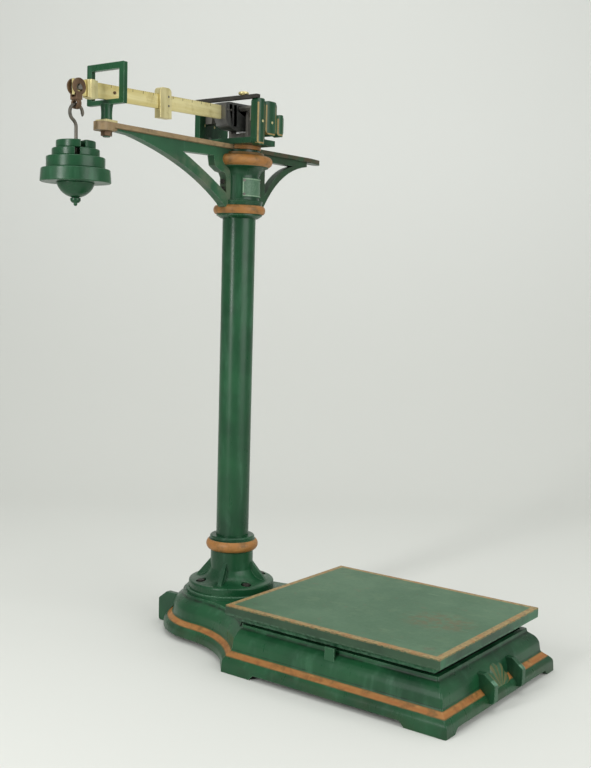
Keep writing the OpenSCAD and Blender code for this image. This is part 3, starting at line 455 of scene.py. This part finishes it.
def stand_paint():
    """Green with one thin gilt line that follows each lobe."""
    finish = Finish("stand_green")
    lines = None
    for low, high, foot, top in STAND_LOBES:
        line = lobe_distance(finish, low, high, foot, top).band(-5.4, -2.4, 0.4)
        line = line * (finish.z - ARM_TOP).fall(top - 9, top - 5)
        lines = line if lines is None else lines + line
    outside = finish.x.size().rise(70, 72)
    pale_gold = (tone(0.56, 0.48, 0.29), tone(0.41, 0.36, 0.21), tone(0.64, 0.57, 0.38))
    return green_paint(finish, (lines * outside).at_most(1.0), 0.0, pale_gold)


def weight_paint():
    """Green gloss over turned iron: pale rings where the edges rubbed through."""
    finish = Finish("weight_green")
    rim = finish.edges(1.6)
    ragged = finish.grain(90, 4, seed=3.0)
    green_paint(finish)
    finish.stain(rim * ragged.rise(0.35, 0.6) * 0.55, tone(0.42, 0.55, 0.46))
    return finish.material


def label_paint():
    """Bare plate: paler paint inside a fine light border."""
    finish = Finish("label_green")
    low, high = ARM_TOP - 97, ARM_TOP - 61
    half_turn = 44
    mm_in_degree = 0.68
    turn = finish.math("ARCTAN2", finish.y, finish.x) * (180 / math.pi)
    inset = (half_turn - turn.size()) * mm_in_degree
    inset = inset.at_most(finish.z - low).at_most(high - finish.z)
    fine = finish.grain(240, 4)
    line = inset.band(1.6, 3.2, 0.3)
    colour = finish.mix(fine.rise(0.35, 0.7), tone(0.26, 0.40, 0.30), tone(0.33, 0.46, 0.36))
    colour = finish.mix(line * fine.rise(0.3, 0.5) * 0.8, colour, tone(0.60, 0.70, 0.59))
    colour = finish.mix(inset.fall(1.0, 1.6), colour, GREEN)
    finish.relief(fine * 0.5 + line * 0.5, 0.2)
    return finish.dress(colour, 0.42 + 0.15 * fine)


def bare_metal(name, light, dark, rough, stretch, polish=1.0, wear=0.5):
    """Metal with drawn streaks, dull patches, darker pits and brighter rubbed edges."""
    finish = Finish(name)
    streak = finish.grain(55, 5, stretch)
    patch = finish.grain(22, 4, seed=7.0)
    pits = finish.cells(210, 2.0)
    rim = finish.edges(1.5)
    darkened = streak.rise(0.3, 0.72) * wear + patch.rise(0.45, 0.75) * (1 - wear)
    colour = finish.mix(darkened, light, dark)
    colour = finish.mix(pits.fall(0.05, 0.16) * patch.rise(0.4, 0.6) * 0.6, colour, dark)
    colour = finish.mix(rim * streak.rise(0.3, 0.6) * 0.5, colour, light)
    finish.relief(streak * 0.6 + pits.rise(0.0, 0.2) * 0.4, 0.12)
    return finish.dress(colour, rough + 0.18 * patch - 0.08 * rim, polish)


def beam_brass():
    """Pale rubbed brass with a fine row of ticks along the top of the bar."""
    finish = Finish("beam_brass")
    streak = finish.grain(60, 5, (1, 0.06, 1))
    patch = finish.grain(26, 4, seed=5.0)
    fine = finish.grain(300, 3, seed=9.0)
    colour = finish.mix(streak.rise(0.35, 0.7), BRASS, BRASS_LIGHT)
    colour = finish.mix(patch.rise(0.5, 0.74) * 0.55, colour, BRASS_BROWN)
    pivot_y, middle_z = -22, ARM_TOP + 63
    rest_tilt = math.radians(1.5)
    tick_step, long_tick_step = 5.0, 25.0
    above = finish.z - middle_z - (finish.y - pivot_y) * math.sin(rest_tilt)
    short = ((finish.y * (2 * math.pi / tick_step)).wave() * 0.5 + 0.5).rise(0.9, 0.97)
    long = ((finish.y * (2 * math.pi / long_tick_step)).wave() * 0.5 + 0.5).rise(0.985, 0.995)
    ticks = (short * above.rise(6.5, 7) + long * above.rise(3, 3.5)).at_most(1.0)
    ticks = ticks * finish.y.band(-352, -70, 1.0) * above.fall(12, 12.3)
    colour = finish.mix(ticks * 0.7, colour, BRONZE_DARK)
    finish.relief(streak * 0.3 + fine * 0.2 - ticks * 0.5, 0.2)
    return finish.dress(colour, 0.3 + 0.2 * patch + 0.1 * streak, 0.75)


# Shapes

def bend(start, pull, end, steps=8):
    """Points of a curve from start to end, drawn towards pull."""
    return [
        tuple(
            (1 - t) ** 2 * a + 2 * t * (1 - t) * b + t * t * c
            for a, b, c in zip(start, pull, end)
        )
        for t in (k / steps for k in range(steps + 1))
    ]


def arc(x, y, radius, start, end, steps):
    """Points round (x, y), from the angle start to the angle end, in degrees."""
    return [
        (x + radius * math.cos(turn), y + radius * math.sin(turn))
        for turn in (math.radians(start + (end - start) * k / steps) for k in range(steps + 1))
    ]


def softened(points, share=0.3, steps=3):
    """Rounds every inner corner of a line of points."""
    line = [points[0]]
    for before, corner, after in zip(points, points[1:], points[2:]):
        start = tuple(c + (b - c) * share for b, c in zip(before, corner))
        end = tuple(c + (a - c) * share for a, c in zip(after, corner))
        line += bend(start, corner, end, steps)
    return line + [points[-1]]


def loft(rings):
    """Closed skin over rings of points that match one for one, capped at both ends."""
    bm = bmesh.new()
    rows = [[bm.verts.new(Vector(point) * MM) for point in ring] for ring in rings]
    count = len(rows[0])
    for low, high in zip(rows, rows[1:]):
        for k in range(count):
            after = (k + 1) % count
            bm.faces.new((low[k], low[after], high[after], high[k]))
    bm.faces.new(reversed(rows[0]))
    bm.faces.new(rows[-1])
    bmesh.ops.recalc_face_normals(bm, faces=bm.faces)
    return bm


def prism(points, low, high, place):
    """Drawing pushed from low to high; place turns (a, b, depth) into (x, y, z)."""
    return loft([[place(a, b, depth) for a, b in points] for depth in (low, high)])


def along_x(y, z, depth):
    return (depth, y, z)


def along_y(x, z, depth):
    return (x, depth, z)


def along_z(x, y, depth):
    return (x, y, depth)


def block(x, y, z):
    """Box between two values along each axis."""
    return prism([(x[0], y[0]), (x[1], y[0]), (x[1], y[1]), (x[0], y[1])], z[0], z[1], along_z)


def turned(profile, steps=96):
    """Skin turned round a vertical axis from (radius, height) points; radius 0 closes an end."""
    bm = bmesh.new()
    rows = []
    for radius, height in profile:
        places = 1 if radius < 0.001 else steps
        rows.append([
            bm.verts.new(Vector((radius * math.cos(turn), radius * math.sin(turn), height)) * MM)
            for turn in (2 * math.pi * k / steps for k in range(places))
        ])
    for low, high in zip(rows, rows[1:]):
        for k in range(steps):
            after = (k + 1) % steps
            corners = [low[k % len(low)], low[after % len(low)],
                       high[after % len(high)], high[k % len(high)]]
            corners = list(dict.fromkeys(corners))
            if len(corners) > 2:
                bm.faces.new(corners)
    bmesh.ops.recalc_face_normals(bm, faces=bm.faces)
    return bm


def swept(path, radii, steps=20):
    """Round bar along a path in the Y-Z plane, with flat ends."""
    bm = bmesh.new()
    rows = []
    side = Vector((1, 0, 0))
    points = [Vector(point) for point in path]
    for k, (point, radius) in enumerate(zip(points, radii)):
        run = (points[min(k + 1, len(points) - 1)] - points[max(k - 1, 0)]).normalized()
        across = run.cross(side)
        rows.append([
            bm.verts.new((point + radius * (math.cos(turn) * side + math.sin(turn) * across)) * MM)
            for turn in (2 * math.pi * j / steps for j in range(steps))
        ])
    for low, high in zip(rows, rows[1:]):
        for j in range(steps):
            after = (j + 1) % steps
            bm.faces.new((low[j], low[after], high[after], high[j]))
    bm.faces.new(rows[0])
    bm.faces.new(rows[-1])
    bmesh.ops.recalc_face_normals(bm, faces=bm.faces)
    return bm


def joined(*shapes):
    """All the shapes as one, each still closed by itself."""
    whole = bmesh.new()
    for shape in shapes:
        mesh = bpy.data.meshes.new("part")
        shape.to_mesh(mesh)
        shape.free()
        whole.from_mesh(mesh)
        bpy.data.meshes.remove(mesh)
    return whole


def carved(solid, *cutters):
    """The solid with every cutter taken out of it."""
    def shown(shape, name):
        mesh = bpy.data.meshes.new(name)
        shape.to_mesh(mesh)
        shape.free()
        body = bpy.data.objects.new(name, mesh)
        bpy.context.scene.collection.objects.link(body)
        return body

    body = shown(solid, "stock")
    tools = [shown(cutter, "cutter") for cutter in cutters]
    for tool in tools:
        cut = body.modifiers.new("cut", "BOOLEAN")
        cut.operation = "DIFFERENCE"
        cut.solver = "EXACT"
        cut.object = tool
    bpy.context.view_layer.update()
    result = bmesh.new()
    result.from_object(body, bpy.context.evaluated_depsgraph_get())
    for spare in [body] + tools:
        mesh = spare.data
        bpy.data.objects.remove(spare)
        bpy.data.meshes.remove(mesh)
    return result


def shaded(mesh):
    """Smooth faces, with edges kept crisp where the surface turns sharply."""
    sharp = math.radians(34)
    bm = bmesh.new()
    bm.from_mesh(mesh)
    for face in bm.faces:
        face.smooth = True
    for edge in bm.edges:
        edge.smooth = edge.calc_face_angle(0) < sharp
    bm.to_mesh(mesh)
    bm.free()


def set_piece(name, shape, material, slot, *nodes, edge=0.8):
    """Puts a finished shape in the scene in place of the CAD nodes that it stands for."""
    mesh = bpy.data.meshes.new(name)
    shape.to_mesh(mesh)
    shape.free()
    shaded(mesh)
    mesh.materials.append(material)
    body = bpy.data.objects.new(name, mesh)
    bpy.context.scene.collection.objects.link(body)
    if edge:
        rounding = body.modifiers.new("rounding", "BEVEL")
        rounding.width = edge * MM
        rounding.segments = 2
        rounding.limit_method = "ANGLE"
        rounding.angle_limit = math.radians(32)
        rounding.miter_outer = "MITER_ARC"
    weigh = body.modifiers.new("flats", "WEIGHTED_NORMAL")
    weigh.keep_sharp = False
    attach(body, frame["nodes"][nodes[0]]["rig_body"])
    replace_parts(body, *nodes)


def copied(node):
    """The solid's own shape, with its flat faces merged."""
    shape = bmesh.new()
    shape.from_mesh(frame["nodes"][node].data)
    bmesh.ops.remove_doubles(shape, verts=shape.verts, dist=0.00002)
    bmesh.ops.dissolve_limit(
        shape, angle_limit=math.radians(0.5), verts=shape.verts, edges=shape.edges
    )
    return shape


def dressed(node, material, slot, edge=0.8):
    set_piece(node + "_finished", copied(node), material, slot, node, edge=edge)


# Base casting

MOULDING = [
    (0, 0), (1, 20), (6, 26), (17, 35), (19, 38), (20, 46), (21, 54),
    (24, 61), (28, 66), (33, 70), (37, 73), (38, 74.5), (39, 80),
]


def base_outline(inset, height):
    """Plan of the base at one height: square front, hollow flanks, round end under the column."""
    corner = 3.5
    flank_start = 170
    front = BASE_FRONT - inset
    half = BASE_HALF - inset
    flare = FLARE_R + inset
    flank_y = NECK_HALF + FLARE_R
    last_turn = math.degrees(math.asin((flank_y - half) / flare))
    side = [(front, 0.0), (front, 0.5 * half)]
    side += arc(front - corner, half - corner, corner, 0, 90, 4)
    side += [(front - 0.5 * (front - flank_start), half)]
    side += arc(FLARE_X, flank_y, flare, -last_turn, -90, 20)
    side += arc(0, 0, NECK_HALF - inset, 90, 180, 28)
    other = [(x, -y) for x, y in reversed(side[1:-1])]
    return [(x, y, height) for x, y in side + other]


def moulded(steps):
    return loft([base_outline(inset, height) for inset, height in steps])


def skirt_gap(low, high):
    """Opening under the skirt between two feet, with slanted ends."""
    slant = 9
    return [(low, -1), (low, 0), (low + slant, slant), (high - slant, slant), (high, 0), (high, -1)]


def base_hollow():
    """Inside of the casting: the moulding moved in by the wall, up to the deck's underside."""
    wall = 9
    deck_under = 70
    steps = [
        (inset + wall, height if height else -1)
        for inset, height in MOULDING if height < deck_under
    ]
    return moulded(steps + [(45, deck_under)])


def lug(root, nose, low, way, y):
    """Lug rooted in the skirt, with a rounded nose; way -1 turns it to the column end."""
    half_width = 6
    top = 62
    points = (
        [(root - 33, top), (root - 22, 37), (root - 8, 22), (root - 5, low)]
        + arc(nose - 6, low + 6, 6, -90, 0, 6) + arc(nose - 4, 44, 4, 0, 60, 5)
        + [(nose - 21, top)]
    )
    return prism([(way * x, z) for x, z in points], y - half_width, y + half_width, along_y)


def front_shell():
    """Fan of ribs cast on the front, leaning on the moulding between the lugs."""
    lean = math.radians(23)
    foot_z = 20
    thick = 16
    ribs = 7
    steps = 84
    rings = 10
    rim = []
    for k in range(steps + 1):
        turn = math.pi * k / steps
        rib = abs(math.sin(turn * ribs / 2 + math.pi / 2))
        radius = 31 + 4 * rib
        rim.append((radius * math.cos(turn), 13.5 + radius * math.sin(turn), rib))
    rim = [(32, 0, 0.4), (33, 7, 0.7)] + rim + [(-33, 7, 0.7), (-32, 0, 0.4)]
    bm = bmesh.new()
    rows = []
    for ring in range(1, rings + 1):
        share = ring / rings
        row = []
        for across, up, rib in rim:
            across, up = across * share, 3 + (up - 3) * share
            out = -4.5 + 3.2 * math.sqrt(1 - share ** 4) + 1.6 * rib * share
            front = BASE_FRONT - 3 - up * math.sin(lean) + out * math.cos(lean)
            height = foot_z + up * math.cos(lean) + out * math.sin(lean)
            row.append(bm.verts.new(Vector((front, across, height)) * MM))
        rows.append(row)
    rows.append([bm.verts.new(vert.co - Vector((thick, 0, 0)) * MM) for vert in rows[-1]])
    for low, high in zip(rows, rows[1:]):
        for k in range(len(rim) - 1):
            bm.faces.new((low[k], low[k + 1], high[k + 1], high[k]))
    bmesh.ops.holes_fill(bm, edges=[edge for edge in bm.edges if edge.is_boundary], sides=0)
    bmesh.ops.recalc_face_normals(bm, faces=bm.faces)
    return bm


def base_casting(material, plain):
    """Moulded casting on its feet, and what is cast on it: pad, lugs, bearers, stop, shell."""
    foot_rear_x = 136
    past = 400
    stock = moulded(softened(MOULDING))
    gaps = [
        prism(skirt_gap(-BASE_HALF, foot_rear_x), -past, past, along_y),
        prism(skirt_gap(212, 527), -past, past, along_y),
        prism(skirt_gap(-173, 173), foot_rear_x, 2 * past, along_x),
    ]
    well = block((150, 555), (-155, 155), (60, 90))
    rod_hole = turned([(0, 40), (ROD_HOLE_R, 40), (ROD_HOLE_R, 100), (0, 100)], 48)
    shape = carved(stock, base_hollow(), well, rod_hole, *gaps)
    set_piece("base_casting_finished", shape, material, "base_paint", "base_casting", edge=1.0)
    pad_low, pad_top = 79, 87
    pad = turned([
        (ROD_HOLE_R, pad_low), (89, pad_low), (89, pad_top - 1), (88.5, pad_top),
        (ROD_HOLE_R, pad_top), (ROD_HOLE_R, pad_low),
    ])
    reach = 9
    lugs = [lug(BASE_FRONT, BASE_FRONT + reach, 14, 1, y) for y in (-LUG_Y, LUG_Y)]
    lugs += [lug(NECK_HALF - reach, NECK_HALF + reach, 0, -1, y) for y in (-LUG_Y, LUG_Y)]
    bearers = [
        block((541, 563), sorted((way * 122, way * 185)), (24, 34)) for way in (-1, 1)
    ] + [
        block((161, 183), sorted((way * 112, way * 195)), (5, 13)) for way in (-1, 1)
    ]
    stop = block((354, 374), (-177, -172), (58, 86))
    shape = joined(pad, stop, *lugs, *bearers)
    set_piece("base_lugs_and_pad", shape, plain, "base_paint", "base_casting", edge=1.2)
    set_piece("base_shell", front_shell(), shell_paint(), "base_paint", "base_casting", edge=0.6)


# Hanger hook

def hanger_hook(material):
    """One wire bent into a hook over the shackle's eye, then straight down."""
    wire = 2.8
    reach = 13.5
    middle = ARM_TOP + 7.03
    low_end = ARM_TOP - 119
    turn = 60
    shank = middle - 2 * reach * math.sin(math.radians(turn))
    hook = arc(TIP_Y, middle, reach, -17, 180 + turn, 40)
    ease = arc(TIP_Y - reach, shank, reach, turn, 0, 14)
    down = [(TIP_Y, shank - step) for step in range(6, int(shank - low_end), 8)]
    path = [(0, y, z) for y, z in hook + ease[1:] + down]
    radii = [wire * min(1.0, 0.45 + 0.2 * k) for k in range(len(path))]
    shape = swept(path, radii)
    set_piece("hanger_hook_finished", shape, material, "dark_iron", "hanger_hook", edge=0)


# Stage, light and camera

def sweep_floor():
    """Floor that curves up into a backdrop behind the scale."""
    finish = Finish("studio_sweep")
    floor = tone(0.845, 0.85, 0.83)
    wall = tone(0.895, 0.90, 0.885)
    finish.dress(finish.mix(finish.z.rise(150, 1500), floor, wall), 0.9)
    finish.fill(finish.shader.inputs["Specular IOR Level"], 0.1)
    flat_end = 1.2
    curve = 1.6
    half_width = 7
    profile = [(-4.0, 0.0), (flat_end, 0.0)]
    profile += [(flat_end + a, curve + b) for a, b in arc(0, 0, curve, -86, 0, 24)]
    profile += [(flat_end + curve, 6.0)]
    turn = math.radians(36.6)
    away = Vector((-math.sin(turn), math.cos(turn), 0))
    across = Vector((away.y, -away.x, 0))
    bm = bmesh.new()
    rows = [
        [
            bm.verts.new(away * run + across * side + Vector((0, 0, rise)))
            for side in (-half_width, half_width)
        ]
        for run, rise in profile
    ]
    for low, high in zip(rows, rows[1:]):
        bm.faces.new((low[0], low[1], high[1], high[0]))
    bmesh.ops.recalc_face_normals(bm, faces=bm.faces)
    mesh = bpy.data.meshes.new("studio_sweep")
    bm.to_mesh(mesh)
    bm.free()
    for face in mesh.polygons:
        face.use_smooth = True
    mesh.materials.append(finish.material)
    sweep = bpy.data.objects.new("studio_sweep", mesh)
    bpy.context.scene.collection.objects.link(sweep)


def lamp(name, place, aim, width, height, power):
    """Flat light at a place in metres, turned to what it aims at."""
    light = bpy.data.lights.new(name, "AREA")
    light.shape = "RECTANGLE"
    light.size = width
    light.size_y = height
    light.energy = power
    holder = bpy.data.objects.new(name, light)
    bpy.context.scene.collection.objects.link(holder)
    holder.location = place
    holder.rotation_euler = (Vector(aim) - Vector(place)).to_track_quat("-Z", "Y").to_euler()


def around(turn, distance, height):
    """Place at so many degrees to the right of the camera, seen from the scale."""
    angle = math.radians(CAMERA_TURN - 90 + turn)
    return (distance * math.cos(angle), distance * math.sin(angle), height)


def light_studio():
    """Narrow light on the left, a broad one on the right, one above, and pale air all round."""
    lamp("left_window", around(-38, 2.4, 1.35), (0, 0, 0.8), 0.36, 1.9, 38)
    lamp("right_sheet", around(52, 3.2, 1.4), (0, 0, 0.55), 2.4, 2.4, 55)
    lamp("ceiling", (0.1, 0.2, 3.4), (0.1, 0, 0), 3.2, 3.2, 46)
    world = bpy.data.worlds.new("studio_air")
    bpy.context.scene.world = world
    world.use_nodes = True
    air = world.node_tree.nodes["Background"]
    air.inputs["Color"].default_value = tone(0.93, 0.94, 0.93)
    air.inputs["Strength"].default_value = 0.47


def aim_camera():
    """Camera where the photo was taken, found from the straight edges in it."""
    turn = math.radians(CAMERA_TURN)
    tilt = math.radians(CAMERA_TILT)
    roll = math.radians(CAMERA_ROLL)
    back = Vector((
        math.sin(turn) * math.cos(tilt), -math.cos(turn) * math.cos(tilt), math.sin(tilt)
    ))
    level = Vector((math.cos(turn), math.sin(turn), 0))
    upright = back.cross(level)
    right = level * math.cos(roll) + upright * math.sin(roll)
    up = upright * math.cos(roll) - level * math.sin(roll)
    camera = bpy.data.cameras.new("photo_camera")
    camera.sensor_fit = "VERTICAL"
    camera.sensor_height = 24
    camera.lens = 33.92
    camera.clip_start = 0.05
    holder = bpy.data.objects.new("photo_camera", camera)
    bpy.context.scene.collection.objects.link(holder)
    holder.matrix_world = Matrix.Translation((1.3633, -1.6370, 0.6922)) @ Matrix(
        (right, up, back)
    ).transposed().to_4x4()
    bpy.context.scene.camera = holder


# Putting it together

def dress_scale():
    """Gives every solid that shows its finish, and plain steel to those inside."""
    base_casting(base_paint(), fitting_paint())
    dressed("platform_plate", platform_paint(), "platform_paint", 1.4)
    column = column_paint()
    for node in ("column_tube", "column_foot", "capital"):
        dressed(node, column, "base_paint", 0.8)
    dressed("left_bracket", arm_paint(), "base_paint", 1.0)
    dressed("right_bracket", right_arm_paint(), "base_paint", 1.0)
    plain = weight_paint()
    dressed("trig_loop", plain, "base_paint", 0.8)
    dressed("beam_stand", stand_paint(), "base_paint", 0.8)
    dressed("blank_plate", label_paint(), "label_paint", 0.3)
    for node in ("hanger_cup", "hanger_finial", "weight_1", "weight_2", "weight_3", "weight_4"):
        dressed(node, plain, "weight_paint", 0.8)
    brass = bare_metal("brass", BRASS_LIGHT, BRASS_BROWN, 0.3, (1, 1, 0.15), 0.75, 0.5)
    dressed("beam_bar", beam_brass(), "brass", 0.6)
    for node in ("stem_block", "poise", "tie_knob", "stand_screws", "beam_collar"):
        dressed(node, brass, "brass", 0.6)
    bronze = bare_metal("bronze", BRONZE, BRONZE_DARK, 0.42, (1, 1, 1), 0.6, 0.5)
    for node in ("shackle", "trig_nut", "collar_pin"):
        dressed(node, bronze, "bronze", 0.6)
    butt_light, butt_dark = tone(0.46, 0.46, 0.45), tone(0.17, 0.17, 0.17)
    butt = bare_metal("butt_iron", butt_light, butt_dark, 0.34, (1, 1, 0.05), 0.7)
    dressed("beam_butt", butt, "butt_iron", 1.0)
    dark = bare_metal("dark_iron", IRON, tone(0.10, 0.10, 0.09), 0.45, (1, 1, 1), 0.6)
    for node in ("foot_bolts", "bracket_bolts"):
        dressed(node, dark, "dark_iron", 0.6)
    dressed("tie_bar", dark, "base_paint", 0.8)
    wire = bare_metal("hook_steel", tone(0.44, 0.42, 0.38), STEEL_DARK, 0.36, (1, 1, 1), 0.7)
    hanger_hook(wire)
    steel = bare_metal("knife_steel", STEEL, STEEL_DARK, 0.36, (1, 1, 0.2), 0.8)
    frame_iron = bare_metal("frame_iron", tone(0.20, 0.22, 0.20), NEAR_BLACK, 0.6, (1, 1, 1), 0.3)
    for node in ("platform_frame", "long_lever", "short_lever"):
        dressed(node, frame_iron, "frame_iron", 0.8)
    done = {name for piece in bpy.data.objects for name in piece.get("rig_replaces", [])}
    for name, solid in frame["nodes"].items():
        if name not in done:
            solid.data.materials.clear()
            solid.data.materials.append(steel)


dress_scale()
sweep_floor()
light_studio()
aim_camera()
scene = bpy.context.scene
scene.view_settings.view_transform = "Standard"
